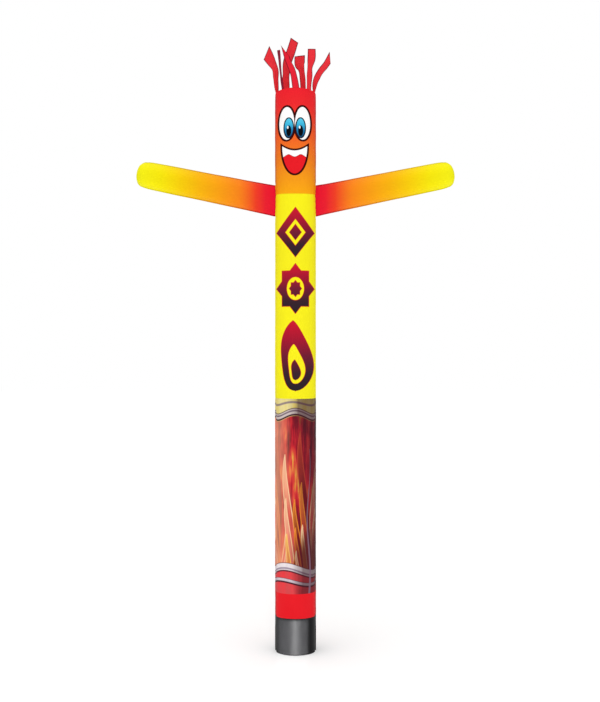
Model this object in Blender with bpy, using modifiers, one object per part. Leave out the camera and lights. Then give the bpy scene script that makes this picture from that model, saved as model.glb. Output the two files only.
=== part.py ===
"""An inflated tube dancer: three stacked cloth panels over a base sleeve, two arms, a vented crown and hair.

Metres, +Z up, the front towards -Y. The origin is on the floor, in the middle of the sleeve's lower edge.
"""

import math

import bmesh
import bpy
from mathutils import Vector

# the tube
TUBE_R = 0.2285  # outside radius of the inflated tube
CLOTH = 0.002  # thickness of the cloth walls
GAP = 0.0003  # clearance between neighbouring pieces
FACETS = 48  # sides round the tube
SLEEVE_TOP = 0.392  # seam between the base sleeve and the lower panel
LOWER_TOP = 2.840  # seam between the lower panel and the yellow panel
YELLOW_TOP = 5.123  # seam between the yellow panel and the head panel
TUBE_TOP = 6.268  # upper rim of the head panel
HEM_THICK = 0.003  # doubled cloth at the sleeve's lower edge
HEM_HIGH = 0.028  # height of that hem

# how far the cloth draws in beside a seam
SEAM_DRAW = (
    # distance from seam, draw
    (0.000, 0.0035),
    (0.012, 0.0024),
    (0.035, 0.0009),
    (0.080, 0.0000),
)

# the arms
ARM_Z = 5.060  # height of the arm's middle line at the tube's side
ARM_SLOPE = math.radians(11.4)  # rise of the arm outwards
ARM_FACETS = 32  # sides round an arm
ARM_HOLE_HIGH = 0.163  # half height of the air hole through the tube's wall
ARM_HOLE_DEEP = 0.079  # half depth of that hole
ARM_SECTIONS = (
    # distance along the arm, half height, half depth
    (-0.095, 0.1705, 0.085),
    (0.000, 0.1695, 0.085),
    (0.045, 0.1680, 0.092),
    (0.110, 0.1660, 0.108),
    (0.210, 0.1645, 0.127),
    (0.340, 0.1620, 0.142),
    (0.520, 0.1600, 0.152),
    (0.780, 0.1572, 0.157),
    (1.080, 0.1548, 0.156),
    (1.330, 0.1520, 0.153),
    (1.430, 0.1500, 0.151),
    (1.490, 0.1430, 0.144),
    (1.535, 0.1270, 0.128),
    (1.565, 0.1000, 0.101),
    (1.580, 0.0660, 0.067),
    (1.587, 0.0300, 0.030),
)
ARM_TIP = 1.589  # distance along the arm to the middle of its closed end

# the crown, a domed cap inside the rim with an air vent
CROWN_EDGE_Z = 6.262  # where the dome meets its folded lip
CROWN_LIP = 0.030  # depth of the folded lip
CROWN_RISE = 0.030  # rise of the dome at the vent
VENT_R = 0.095  # radius of the vent
CROWN_STEPS = 6  # rings across the dome

# the hair: a narrow band inside the rim and the ribbons that grow out of it
BAND_THICK = 0.003
BAND_TOP = 6.269
BAND_HIGH = 0.036
HAIR_THICK = 0.002
HAIR_ROOT_Z = 6.2632  # lower end of the ribbons, inside the band's upper edge
HAIR_INSET = 0.0006  # how far a root's corners stay inside the band's outer face
HAIR_STEPS = 12  # segments along a ribbon

# Each ribbon: its place round the rim, degrees from the front towards +X, the width where it is sewn,
# how far the corner of its cut end on the +X side leads the middle, and its course above the root.
HAIR = (
    {
        "name": "ribbon left rear",
        "place": -112,
        "root_width": 0.054,
        "cut_lead": 0.052,
        "course": (
            # x, y, z, width, turn in degrees
            (-0.214, 0.086, 6.345, 0.062, 49),
            (-0.223, 0.092, 6.459, 0.084, 42),
            (-0.229, 0.098, 6.563, 0.090, 41),
            (-0.271, 0.104, 6.658, 0.116, 20),
            (-0.331, 0.108, 6.761, 0.136, 4),
        ),
    },
    {
        "name": "ribbon left edge on",
        "place": -39,
        "root_width": 0.030,
        "cut_lead": -0.013,
        "course": (
            # x, y, z, width, turn in degrees
            (-0.145, -0.170, 6.314, 0.036, -50),
            (-0.158, -0.168, 6.410, 0.056, -66),
            (-0.170, -0.158, 6.530, 0.078, -74),
            (-0.179, -0.150, 6.640, 0.088, -70),
            (-0.188, -0.145, 6.721, 0.090, -70),
        ),
    },
    {
        "name": "ribbon front middle",
        "place": 2,
        "root_width": 0.078,
        "cut_lead": -0.071,
        "course": (
            # x, y, z, width, turn in degrees
            (-0.001, -0.213, 6.324, 0.078, 10),
            (-0.0175, -0.203, 6.420, 0.074, 17),
            (-0.045, -0.186, 6.508, 0.078, 22),
            (-0.091, -0.160, 6.628, 0.078, 35),
            (-0.113, -0.145, 6.711, 0.078, 35),
        ),
    },
    {
        "name": "ribbon tall",
        "place": -152,
        "root_width": 0.078,
        "cut_lead": -0.011,
        "course": (
            # x, y, z, width, turn in degrees
            (-0.111, 0.196, 6.420, 0.090, 23),
            (-0.108, 0.198, 6.543, 0.088, 24),
            (-0.0925, 0.198, 6.681, 0.105, 20),
            (-0.050, 0.194, 6.806, 0.103, 17),
            (-0.012, 0.188, 6.928, 0.102, 18),
        ),
    },
    {
        "name": "ribbon flag",
        "place": 156,
        "root_width": 0.064,
        "cut_lead": 0.008,
        "course": (
            # x, y, z, width, turn in degrees
            (0.084, 0.200, 6.430, 0.072, -25),
            (0.0745, 0.195, 6.540, 0.075, -36),
            (0.0645, 0.192, 6.600, 0.094, -34),
            (0.0475, 0.190, 6.656, 0.118, -9),
            (0.0475, 0.188, 6.749, 0.118, 0),
        ),
    },
    {
        "name": "ribbon right front",
        "place": 43,
        "root_width": 0.062,
        "cut_lead": 0.003,
        "course": (
            # x, y, z, width, turn in degrees
            (0.152, -0.164, 6.338, 0.069, 37),
            (0.158, -0.166, 6.438, 0.074, 38),
            (0.1615, -0.168, 6.526, 0.077, 38),
            (0.179, -0.170, 6.626, 0.091, 13),
            (0.1805, -0.170, 6.727, 0.090, 11),
        ),
    },
    {
        "name": "ribbon right leaning",
        "place": 110,
        "root_width": 0.054,
        "cut_lead": -0.060,
        "course": (
            # x, y, z, width, turn in degrees
            (0.2185, 0.080, 6.390, 0.072, -46),
            (0.2425, 0.086, 6.469, 0.084, -26),
            (0.283, 0.094, 6.545, 0.080, -25),
            (0.3415, 0.100, 6.620, 0.083, -19),
            (0.393, 0.104, 6.7045, 0.086, -18),
        ),
    },
)

COLOURS = {
    # node: red, green, blue as linear values
    "head_panel": (0.78, 0.16, 0.06),
    "yellow_panel": (0.92, 0.82, 0.02),
    "lower_panel": (0.72, 0.04, 0.03),
    "base_sleeve": (0.02, 0.02, 0.02),
    "arm_left": (0.90, 0.45, 0.02),
    "arm_right": (0.90, 0.45, 0.02),
    "crown": (0.80, 0.02, 0.03),
    "hair": (0.80, 0.02, 0.03),
}


def collection(name, hidden):
    made = bpy.data.collections.new(name)
    bpy.context.scene.collection.children.link(made)
    made.hide_render = hidden
    return made


def add(name, mesh, home):
    made = bpy.data.objects.new(name, mesh)
    home.objects.link(made)
    return made


def as_cutter(made):
    made.hide_render = True
    made.display_type = "WIRE"
    return made


def closed_outline(name, points):
    """A loop of edges in the XZ plane, from (radius, height) pairs."""
    count = len(points)
    mesh = bpy.data.meshes.new(name)
    verts = [(r, 0.0, z) for r, z in points]
    edges = [(i, (i + 1) % count) for i in range(count)]
    mesh.from_pydata(verts, edges, [])
    return mesh


def revolve(name, points, home):
    """Spins a closed outline about Z; its outer side runs from top to bottom."""
    made = add(name, closed_outline(name, points), home)
    spin = made.modifiers.new("spin", "SCREW")
    spin.steps = FACETS
    spin.render_steps = FACETS
    spin.use_merge_vertices = True
    spin.merge_threshold = 0.00005
    spin.use_smooth_shade = True
    return made


def seam_side(top, bottom, top_seam, bottom_seam):
    """The outer side of a panel, top to bottom, drawn in beside each seam that it has."""
    high = [(TUBE_R, top)]
    low = [(TUBE_R, bottom)]
    if top_seam:
        high = [(TUBE_R - draw, top - away) for away, draw in SEAM_DRAW]
    if bottom_seam:
        low = [(TUBE_R - draw, bottom + away) for away, draw in reversed(SEAM_DRAW)]
    return high + low


def panel(name, top, bottom, home):
    """A tube of cloth between two seams, both its edges half a gap short of the seam."""
    outer = seam_side(top - GAP / 2, bottom + GAP / 2, True, True)
    inner = [(r - CLOTH, z) for r, z in reversed(outer)]
    return revolve(name, outer + inner, home)


def base_sleeve(name, home):
    """The sleeve, its lower edge doubled inwards to a hem."""
    outer = seam_side(SLEEVE_TOP - GAP / 2, 0.0, True, False)
    hem = [
        (TUBE_R - HEM_THICK, 0.0),
        (TUBE_R - HEM_THICK, HEM_HIGH),
        (TUBE_R - CLOTH, HEM_HIGH + CLOTH),
    ]
    upper = [(r - CLOTH, z) for r, z in reversed(outer[:-1])]
    return revolve(name, outer + hem + upper, home)


def cut(target, cutter, name, operation="DIFFERENCE"):
    change = target.modifiers.new(name, "BOOLEAN")
    change.operation = operation
    change.solver = "EXACT"
    change.object = cutter


def air_hole_cutter(home):
    """A long elliptical rod across the tube, one cutter for both arms' air holes."""
    mesh = bpy.data.meshes.new("air holes")
    shape = bmesh.new()
    bmesh.ops.create_cone(
        shape,
        cap_ends=True,
        segments=ARM_FACETS,
        radius1=1.0,
        radius2=1.0,
        depth=4.0 * TUBE_R,
    )
    for vert in shape.verts:
        across, up, along = vert.co
        vert.co = (along, -across * ARM_HOLE_DEEP, ARM_Z + up * ARM_HOLE_HIGH)
    bmesh.ops.recalc_face_normals(shape, faces=shape.faces)
    shape.to_mesh(mesh)
    shape.free()
    return as_cutter(add("air holes", mesh, home))


def tube_core_cutter(home):
    """The tube's outside beside the arms, one gap larger, to trim the arms' roots."""
    seam = YELLOW_TOP
    side = [(TUBE_R + GAP, seam + 0.4)]
    side += [(TUBE_R + GAP - d, seam + away) for away, d in reversed(SEAM_DRAW)]
    side += [(TUBE_R + GAP - d, seam - away) for away, d in SEAM_DRAW[1:]]
    side += [(TUBE_R + GAP, seam - 0.5)]
    axis = [(0.0, seam - 0.5), (0.0, seam + 0.4)]
    return as_cutter(revolve("arm root trim", side + axis, home))


def arm(name, side, trim, home):
    """A closed cloth tube lofted along its sloping middle line; side is 1 towards +X."""
    along = Vector((side * math.cos(ARM_SLOPE), 0.0, math.sin(ARM_SLOPE)))
    upward = Vector((-side * math.sin(ARM_SLOPE), 0.0, math.cos(ARM_SLOPE)))
    start = Vector((side * TUBE_R, 0.0, ARM_Z))
    shape = bmesh.new()
    rings = []
    for distance, half_high, half_deep in ARM_SECTIONS:
        ring = []
        for step in range(ARM_FACETS):
            angle = 2.0 * math.pi * step / ARM_FACETS
            place = start + along * distance
            place += upward * (half_high * math.sin(angle))
            place += Vector((0.0, half_deep * math.cos(angle), 0.0))
            ring.append(shape.verts.new(place))
        rings.append(ring)
    for near, far in zip(rings, rings[1:]):
        for step in range(ARM_FACETS):
            ahead = (step + 1) % ARM_FACETS
            shape.faces.new((near[step], near[ahead], far[ahead], far[step]))
    tip = shape.verts.new(start + along * ARM_TIP)
    for step in range(ARM_FACETS):
        shape.faces.new((rings[-1][step], rings[-1][(step + 1) % ARM_FACETS], tip))
    bmesh.ops.recalc_face_normals(shape, faces=shape.faces)
    middle = start + along * (ARM_TIP / 2)
    shape.faces.ensure_lookup_table()
    probe = shape.faces[len(shape.faces) // 2]
    if probe.normal.dot(probe.calc_center_median() - middle) < 0.0:
        bmesh.ops.reverse_faces(shape, faces=shape.faces)
    mesh = bpy.data.meshes.new(name)
    shape.to_mesh(mesh)
    shape.free()
    mesh.shade_smooth()
    made = add(name, mesh, home)
    wall = made.modifiers.new("cloth", "SOLIDIFY")
    wall.thickness = CLOTH
    wall.offset = -1.0
    wall.use_even_offset = True
    cut(made, trim, "root trim")
    return made


def crown(name, home):
    """A shallow dome with an open vent and a lip folded down inside the hair band."""
    edge = TUBE_R - SEAM_DRAW[0][1] - CLOTH - GAP - BAND_THICK - GAP
    top = []
    for step in range(CROWN_STEPS + 1):
        r = VENT_R + (edge - VENT_R) * step / CROWN_STEPS
        rise = CROWN_RISE * (edge**2 - r**2) / (edge**2 - VENT_R**2)
        top.append((r, CROWN_EDGE_Z + rise))
    lip = [(edge, CROWN_EDGE_Z - CROWN_LIP), (edge - CLOTH, CROWN_EDGE_Z - CROWN_LIP)]
    under = [(edge - CLOTH, CROWN_EDGE_Z - CLOTH)]
    under += [(r, z - CLOTH) for r, z in reversed(top[:-1])]
    return revolve(name, top + lip + under, home)


def catmull(before, here, there, after, part):
    """A point on the smooth course between two stations."""
    square = part * part
    cube = square * part
    made = []
    for a, b, c, d in zip(before, here, there, after):
        value = 2.0 * b + (c - a) * part
        value += (2.0 * a - 5.0 * b + 4.0 * c - d) * square
        value += (3.0 * b - a - 3.0 * c + d) * cube
        made.append(value / 2.0)
    return made


def smooth_course(stations, steps):
    """Evenly spaced samples along the stations, each with all of their columns."""
    last = len(stations) - 1
    samples = []
    for step in range(steps + 1):
        reach = last * step / steps
        index = min(int(reach), last - 1)
        before = stations[max(index - 1, 0)]
        after = stations[min(index + 2, last)]
        here, there = stations[index], stations[index + 1]
        samples.append(catmull(before, here, there, after, reach - index))
    return samples


def band_radius():
    return TUBE_R - SEAM_DRAW[0][1] - CLOTH - GAP


def ribbon(row, home):
    """One ribbon: a flat strip that turns as it rises, thickened to cloth."""
    place = math.radians(row["place"])
    half = row["root_width"] / 2
    flat = band_radius() * math.cos(math.pi / FACETS) - HAIR_INSET
    seat = math.sqrt(flat**2 - half**2) - HAIR_THICK / 2
    turn = row["place"]
    if abs(turn) > 90:
        turn -= math.copysign(180, turn)
    root = (
        seat * math.sin(place),
        -seat * math.cos(place),
        HAIR_ROOT_Z,
        row["root_width"],
        turn,
    )
    samples = smooth_course((root,) + row["course"], HAIR_STEPS)
    centres = [Vector(sample[:3]) for sample in samples]
    mesh = bpy.data.meshes.new(row["name"])
    verts = []
    for index, sample in enumerate(samples):
        ahead = centres[min(index + 1, HAIR_STEPS)]
        behind = centres[max(index - 1, 0)]
        tangent = (ahead - behind).normalized()
        if index == 0:
            tangent = Vector((0.0, 0.0, 1.0))
        turned = math.radians(sample[4])
        level = Vector((tangent.z, 0.0, -tangent.x)).normalized()
        across = level * math.cos(turned) + Vector((0.0, math.sin(turned), 0.0))
        across -= tangent * across.dot(tangent)
        across.normalize()
        lead = row["cut_lead"] * (index / HAIR_STEPS) ** 2
        reach = across * (sample[3] / 2)
        verts.append(centres[index] - reach - tangent * lead)
        verts.append(centres[index] + reach + tangent * lead)
    faces = []
    for index in range(HAIR_STEPS):
        left, right = 2 * index, 2 * index + 1
        faces.append((left, right, right + 2))
        faces.append((left, right + 2, left + 2))
    mesh.from_pydata(verts, [], faces)
    made = as_cutter(add(row["name"], mesh, home))
    wall = made.modifiers.new("cloth", "SOLIDIFY")
    wall.thickness = HAIR_THICK
    wall.offset = 0.0
    wall.use_even_offset = False
    return made


def hair(name, home, tools):
    """The narrow band inside the rim, with every ribbon fused into its upper edge."""
    outer = band_radius()
    inner = outer - BAND_THICK
    low = BAND_TOP - BAND_HIGH
    corners = [(outer, BAND_TOP), (outer, low), (inner, low), (inner, BAND_TOP)]
    made = revolve(name, corners, home)
    for row in HAIR:
        cut(made, ribbon(row, tools), row["name"], "UNION")
    return made


def paint(made):
    material = bpy.data.materials.new(made.name)
    material.use_nodes = True
    shader = material.node_tree.nodes["Principled BSDF"]
    shader.inputs["Base Color"].default_value = (*COLOURS[made.name], 1.0)
    shader.inputs["Roughness"].default_value = 0.55
    made.data.materials.append(material)


def main():
    for old in list(bpy.data.objects):
        bpy.data.objects.remove(old)
    home = collection("tube dancer", False)
    tools = collection("cutters", True)
    holes = air_hole_cutter(tools)
    trim = tube_core_cutter(tools)
    head = panel("head_panel", TUBE_TOP + GAP / 2, YELLOW_TOP, home)
    yellow = panel("yellow_panel", YELLOW_TOP, LOWER_TOP, home)
    cut(head, holes, "air holes")
    cut(yellow, holes, "air holes")
    made = [
        head,
        yellow,
        panel("lower_panel", LOWER_TOP, SLEEVE_TOP, home),
        base_sleeve("base_sleeve", home),
        arm("arm_left", -1, trim, home),
        arm("arm_right", 1, trim, home),
        crown("crown", home),
        hair("hair", home, tools),
    ]
    for piece in made:
        paint(piece)


main()
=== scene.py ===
"""The looks of the inflatable tube dancer: printed nylon panels, arms, ribbon hair, crown and base sleeve.

Metres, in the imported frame: +Z up, the face towards -Y, the origin on the floor under the tube's middle.
"""

import math

import bpy
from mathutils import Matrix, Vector, noise


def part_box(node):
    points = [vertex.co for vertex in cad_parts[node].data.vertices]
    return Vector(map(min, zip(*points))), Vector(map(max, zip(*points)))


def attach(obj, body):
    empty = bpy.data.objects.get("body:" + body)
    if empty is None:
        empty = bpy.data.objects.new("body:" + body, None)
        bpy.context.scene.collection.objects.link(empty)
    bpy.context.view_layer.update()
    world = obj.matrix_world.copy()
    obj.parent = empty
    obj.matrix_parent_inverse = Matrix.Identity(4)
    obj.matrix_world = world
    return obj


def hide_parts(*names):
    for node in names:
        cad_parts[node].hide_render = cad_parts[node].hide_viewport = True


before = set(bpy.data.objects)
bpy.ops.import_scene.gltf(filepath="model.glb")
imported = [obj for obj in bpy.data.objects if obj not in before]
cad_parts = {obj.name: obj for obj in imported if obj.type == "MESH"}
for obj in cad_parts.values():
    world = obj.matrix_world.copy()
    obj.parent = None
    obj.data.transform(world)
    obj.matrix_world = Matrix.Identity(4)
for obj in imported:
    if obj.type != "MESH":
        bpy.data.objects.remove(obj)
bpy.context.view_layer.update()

# ---- the photograph's camera
PHOTO_HIGH = 702
SENSOR = 36.0  # millimetres along the photograph's long side
FOCAL_PIXELS = 1068.3
CAMERA_AWAY = 12.04  # from the tube's middle line
CAMERA_HEIGHT = 3.370
CAMERA_ASIDE = 0.0506

# ---- the tube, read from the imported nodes
SLEEVE_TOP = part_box("base_sleeve")[1][2]
LOWER_BOTTOM, LOWER_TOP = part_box("lower_panel")[0][2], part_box("lower_panel")[1][2]
YELLOW_BOTTOM, YELLOW_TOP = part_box("yellow_panel")[0][2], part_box("yellow_panel")[1][2]
HEAD_BOTTOM, TUBE_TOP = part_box("head_panel")[0][2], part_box("head_panel")[1][2]
TUBE_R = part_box("base_sleeve")[1][0]
AROUND = 2.0 * math.pi * TUBE_R
SEAMS = (
    # height, how far the seam pulls the cloth in
    (SLEEVE_TOP, 0.0010),
    (LOWER_TOP, 0.0034),
    (YELLOW_TOP, 0.0034),
    (TUBE_TOP, 0.0034),
)
SEAM_REACH = 0.028  # how far up and down that pull fades
SEAM_CREASES = (
    # creases round the tube, height as a share of the pull, reach, seed's step from seam to seam, its start
    (58, 0.33, 0.022, 3.1, 0.0),
    (23, 0.38, 0.070, 5.3, 1.0),
)
SEAM_SLANTS = (
    # seam, its rise at the front and equal fall at the back, its rise at the sides, reach below, reach above
    (SLEEVE_TOP, 0.015, 0.009, SLEEVE_TOP, 1.2),
    (YELLOW_TOP, -0.011, 0.0, 1.0, 1.0),
    (TUBE_TOP, 0.017, 0.0, 0.4, 1.0),
)
FIN_HIGH = 0.0140  # how far the sewn edges of the tube's side seams stand out
FIN_PULL = 0.0126  # how far the cloth beside them is drawn in
FIN_REACH = 0.060  # how far round the tube that pull fades
FIN_WIDE = 0.0026  # how far to either side the fold's own height falls off
FIN_START = 1.06  # where the fold starts outside an arm's root, as a share of the root's size
FIN_EASE = 0.12  # over how much more of it the fold rises
FIN_PUCKER = 0.0010  # height of the puckers along a side seam
RIM_EASE = 0.08  # height below the rim over which the pull fades out
SLACK = 0.0016  # height of the soft unevenness of the inflated cloth
ROOT_FOLDS = 15.0  # folds in a full turn that fan out round an arm's root
ROOT_FOLD_HIGH = 0.0014
ROOT_FOLD_REACH = 0.35  # as a share of the root's size
ROOT_FOLD_NEAR, ROOT_FOLD_FAR = 0.9, 2.4
NYLON = 0.0012  # thickness of the panels, their coating and seams counted in
SLEEVE_CLOTH = 0.0010
HEM_HIGH = 0.028
HEM_STITCH = 0.003  # how far below the hem's raw edge its stitches run
HEM_INWARD = 0.0021  # how far inside the sleeve's outer face its turned-up hem lies
HEM_FOLD_INWARD = 0.0011  # and the fold below it
HEM_ROWS = (HEM_HIGH, HEM_HIGH * 0.66, HEM_HIGH * 0.33, 0.0009)  # heights down the inside
FOLD_ROWS = (0.0, 0.0012)  # and up the outside, before the even rows
FOLD_TOP = 0.006
TUBE_COLUMNS = 300  # strips of cloth round the tube
ROW_FINE = 0.005  # row height beside a seam
ROW_COARSE = 0.034  # row height in the middle of a panel
ROW_GROWTH = 1.07

# ---- the arms
ARM_Z = 5.060  # where an arm's middle line meets the tube's side
ARM_SLOPE = math.radians(11.4)
ARM_ROOT_HIGH = 0.1695
ARM_ROOT_DEEP = 0.056
ARM_ROOT_GATHER = 0.0013  # height of the gathers round the root
ARM_ROOT_GATHER_REACH = 0.050
ARM_FIN_HIGH = 0.0130  # how far the seams on an arm's upper and lower edge stand out
ARM_FIN_PULL = 0.0096  # how far the cloth beside them is drawn in
ARM_FIN_BEFORE = 0.006  # how far before the root these seams start
ARM_FIN_EASE = 0.012  # and the length over which they rise
ARM_ROOT_EASE = 0.1  # length after the root over which the soft unevenness comes in
ARM_ROOT_OUT = 0.0004  # how far outside the tube's cloth an arm's root lies
ARM_ROOT_SEWN = 0.016  # length of the arm that is drawn onto the tube
HOLE_EDGE_HIGH = 0.007  # cloth left between an arm's root and its air hole, above and below
HOLE_EDGE_DEEP = 0.006  # and in front and behind
ARM_ROOT_SHARE = 0.16  # share of the length over which the slanting root turns square
ARM_TIP = 1.589
ARM_TIP_PLAIN = 0.02  # length at the tip that is all of the last colour
ARM_TIP_EASE = 0.1  # length before the tip over which the arm's relief fades out
ARM_TIP_GATHER = 0.05  # length before the tip over which its seams and puckers close
ARM_TIP_PUCKER = 0.0030  # height of the puckers along the seams near the tip
ARM_TIP_PUCKER_REACH = 0.075
ARM_R = 0.155
ARM_AROUND = 2.0 * math.pi * ARM_R
ARM_COLUMNS = 144
ARM_ROWS = 130
ARM_ROW_EASE = 0.115  # how much closer the rings stand at the root and the tip
ARM_SECTIONS = (
    # distance along the arm, half height, half depth
    (0.000, ARM_ROOT_HIGH, ARM_ROOT_DEEP),
    (0.045, 0.1680, 0.068),
    (0.110, 0.1660, 0.088),
    (0.210, 0.1645, 0.114),
    (0.340, 0.1620, 0.136),
    (0.520, 0.1600, 0.150),
    (0.780, 0.1572, 0.157),
    (1.080, 0.1548, 0.156),
    (1.330, 0.1520, 0.153),
    (1.430, 0.1500, 0.151),
    (1.490, 0.1430, 0.144),
    (1.535, 0.1270, 0.128),
    (1.565, 0.1000, 0.101),
    (1.580, 0.0660, 0.067),
    (1.587, 0.0300, 0.030),
    (ARM_TIP, 0.0010, 0.001),
)

# ---- the crown and the hair
CROWN_EDGE_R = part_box("crown")[1][0]
CROWN_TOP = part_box("crown")[1][2]
CROWN_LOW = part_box("crown")[0][2]
CROWN_EDGE_Z = 6.262
CROWN_DROP = 0.002  # how far the dome lies below the top of its solid
CROWN_CLOTH = 0.0010
CROWN_COLUMNS = 180
CROWN_ROWS = 22  # rows from the vent to the edge
CROWN_FOLD_ROWS = 5  # rows of the edge folded down
CROWN_MIDDLE_R = 0.16  # where the crown's pattern is at its own scale
VENT_R = 0.095
VENT_HEM_WIDE = 0.010  # the cloth turned under round the vent
VENT_HEM_DEEP = 0.0026
VENT_PLEATS = 26
VENT_PLEAT = 0.0020  # height of the pleats round the vent
VENT_PLEAT_REACH = 0.022
EDGE_PLEATS = 34
EDGE_PLEAT = 0.0016  # and of those along the crown's edge
EDGE_PLEAT_REACH = 0.020
PLEAT_ROWS = 3.0  # rows over which both start
BAND_R = 0.2215
BAND_IN = 0.0004  # how far the band's edges sit inside that, its middle bulging out
BAND_LOW, BAND_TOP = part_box("hair")[0][2], 6.269
BAND_CLOTH = 0.0012
BAND_COLUMNS = 160
BAND_ROWS = 8
BAND_PATTERN = 0.07  # share of the band's length that its pattern is drawn over
RIBBON_CLOTH = 0.0009
RIBBON_STRIPS = 10  # columns across a ribbon
RIBBON_ROWS = 64
RIBBON_ROOT_Z = 6.246
RIBBON_IN = 0.0012  # how far inside the band a root is sewn
RIBBON_PLEAT = 0.045  # depth of the pleats, as a share of the width that they take up
RIBBON_RIPPLE = 0.0035
RIBBON_CUP = 0.0040
RIBBON_FREE = 7.0  # one over the share of its length in which a ribbon comes loose from its seam
CUT_EDGE = 0.0090  # width of the darker line along a ribbon's cut edges

# Each ribbon: its place round the rim in degrees from the front towards +X, the width where it is sewn,
# the lead of its cut end's +X corner, and its course above the root. One shows the painted shade of the
# back faces on its front, one is a deeper red, and two have less slack for pleats and ripples.
RIBBONS = (
    {
        "name": "ribbon_left_rear",
        "place": -112,
        "root_width": 0.054,
        "cut_lead": 0.052,
        "course": (
            # x, y, z, width, turn in degrees
            (-0.214, 0.086, 6.345, 0.062, 49),
            (-0.223, 0.092, 6.459, 0.084, 42),
            (-0.229, 0.098, 6.563, 0.090, 41),
            (-0.271, 0.104, 6.658, 0.116, 20),
            (-0.331, 0.108, 6.761, 0.136, 4),
        ),
    },
    {
        "name": "ribbon_edge_on",
        "place": -39,
        "root_width": 0.030,
        "cut_lead": -0.013,
        # its front faces carry the painted shade of the back faces
        "shaded_back_out": True,
        "slack": 0.3,
        "course": (
            # x, y, z, width, turn in degrees
            (-0.145, -0.170, 6.314, 0.036, -50),
            (-0.158, -0.168, 6.410, 0.056, -66),
            (-0.170, -0.158, 6.530, 0.078, -74),
            (-0.179, -0.150, 6.640, 0.088, -70),
            (-0.188, -0.145, 6.721, 0.090, -70),
        ),
    },
    {
        "name": "ribbon_front_middle",
        "place": 2,
        "root_width": 0.078,
        "cut_lead": -0.071,
        "deep": 0.7,
        "slack": 0.6,
        "course": (
            # x, y, z, width, turn in degrees
            (-0.001, -0.213, 6.324, 0.078, 10),
            (-0.0175, -0.203, 6.420, 0.074, 17),
            (-0.045, -0.186, 6.508, 0.078, 22),
            (-0.091, -0.160, 6.628, 0.078, 35),
            (-0.113, -0.145, 6.711, 0.078, 35),
        ),
    },
    {
        "name": "ribbon_tall",
        "place": -152,
        "root_width": 0.078,
        "cut_lead": -0.011,
        "course": (
            # x, y, z, width, turn in degrees
            (-0.111, 0.196, 6.420, 0.090, 23),
            (-0.108, 0.198, 6.543, 0.088, 24),
            (-0.0925, 0.198, 6.681, 0.105, 20),
            (-0.050, 0.194, 6.806, 0.103, 17),
            (-0.012, 0.188, 6.928, 0.102, 18),
        ),
    },
    {
        "name": "ribbon_flag",
        "place": 156,
        "root_width": 0.064,
        "cut_lead": 0.008,
        "course": (
            # x, y, z, width, turn in degrees
            (0.084, 0.200, 6.430, 0.072, -25),
            (0.0745, 0.195, 6.540, 0.075, -36),
            (0.0645, 0.192, 6.600, 0.094, -34),
            (0.0475, 0.190, 6.656, 0.118, -9),
            (0.0475, 0.188, 6.749, 0.118, 0),
        ),
    },
    {
        "name": "ribbon_right_front",
        "place": 43,
        "root_width": 0.062,
        "cut_lead": 0.003,
        "course": (
            # x, y, z, width, turn in degrees
            (0.152, -0.164, 6.338, 0.069, 37),
            (0.158, -0.166, 6.438, 0.074, 38),
            (0.1615, -0.168, 6.526, 0.077, 38),
            (0.179, -0.170, 6.626, 0.091, 13),
            (0.1805, -0.170, 6.727, 0.090, 11),
        ),
    },
    {
        "name": "ribbon_right_leaning",
        "place": 110,
        "root_width": 0.054,
        "cut_lead": -0.060,
        "course": (
            # x, y, z, width, turn in degrees
            (0.2185, 0.080, 6.390, 0.072, -46),
            (0.2425, 0.086, 6.469, 0.084, -26),
            (0.283, 0.094, 6.545, 0.080, -25),
            (0.3415, 0.100, 6.620, 0.083, -19),
            (0.393, 0.104, 6.7045, 0.086, -18),
        ),
    },
)


# ---------------------------------------------------------------- numbers worked out over the cloth


class Field:
    """A number worked out over a piece by Math nodes; plain sums of fields add nodes to its tree."""

    def __init__(self, tree, socket):
        self.tree = tree
        self.socket = socket

    def math(self, operation, *others):
        node = self.tree.nodes.new("ShaderNodeMath")
        node.operation = operation
        for slot, value in enumerate((self, *others)):
            if isinstance(value, Field):
                self.tree.links.new(value.socket, node.inputs[slot])
            else:
                node.inputs[slot].default_value = value
        return Field(self.tree, node.outputs[0])

    def __add__(self, other):
        return self.math("ADD", other)

    def __sub__(self, other):
        return self.math("SUBTRACT", other)

    def __mul__(self, other):
        return self.math("MULTIPLY", other)

    def __truediv__(self, other):
        return self.math("DIVIDE", other)

    def __neg__(self):
        return self.math("MULTIPLY", -1.0)

    def power(self, other):
        return self.math("POWER", other)

    def size(self):
        return self.math("ABSOLUTE")

    def cosine(self):
        return self.math("COSINE")

    def sine(self):
        return self.math("SINE")

    def smaller(self, other):
        return self.math("MINIMUM", other)

    def larger(self, other):
        return self.math("MAXIMUM", other)

    def kept(self, most=1.0):
        """The field where it lies between zero and most, and the nearer of the two elsewhere."""
        return self.larger(0.0).smaller(most)

    def inside(self, blur):
        """1 where the field is below zero and 0 above it, with a soft edge blur wide."""
        return (self / -blur + 0.5).kept()


# the sockets of a Mix node that mixes colours
BELOW, TOP, MIXED = 6, 7, 2


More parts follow.
